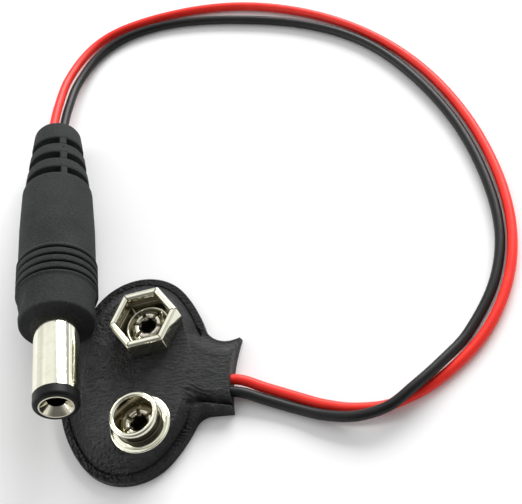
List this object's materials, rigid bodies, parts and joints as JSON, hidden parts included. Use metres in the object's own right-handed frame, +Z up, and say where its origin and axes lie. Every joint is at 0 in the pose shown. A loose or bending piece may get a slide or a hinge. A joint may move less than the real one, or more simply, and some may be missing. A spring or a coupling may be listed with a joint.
{
  "type": "battery snap connector with barrel plug lead",
  "caption": "Snap connector for a 9 V battery: a flat padded head with a hexagonal socket and a round stud, wired by red and black leads to a barrel plug with a strain relief.",
  "frame": {"origin": "point on the surface the part lies on, halfway between the two terminals of the head", "axes": "+Z up from the surface, +Y from the stud towards the hexagonal socket, +X from the row of terminals towards the tab where the leads leave the head"},
  "size_m": [0.0633, 0.0759, 0.0114],
  "materials": {
    "leatherette": "grained satin",
    "plate": "matt",
    "nickel": "bright",
    "copper": "satin",
    "solder": "satin",
    "red_insulation": "satin",
    "black_insulation": "satin",
    "grip": "matt",
    "nose": "satin"
  },
  "bodies": {
    "root": {"top_cover": "leatherette", "bottom_cover": "leatherette", "backing_plate": "plate", "socket_contact": "nickel", "stud_contact": "nickel", "socket_eyelet": "nickel", "stud_eyelet": "nickel", "positive_tail": "copper", "negative_tail": "copper", "positive_solder": "solder", "negative_solder": "solder", "red_lead": "red_insulation", "black_lead": "black_insulation", "plug_body": "grip", "barrel": "nickel", "tip_insulator": "nose", "centre_contact": "nickel", "centre_tail": "copper", "barrel_tail": "copper", "centre_solder": "solder", "barrel_solder": "solder"}
  },
  "joints": []
}
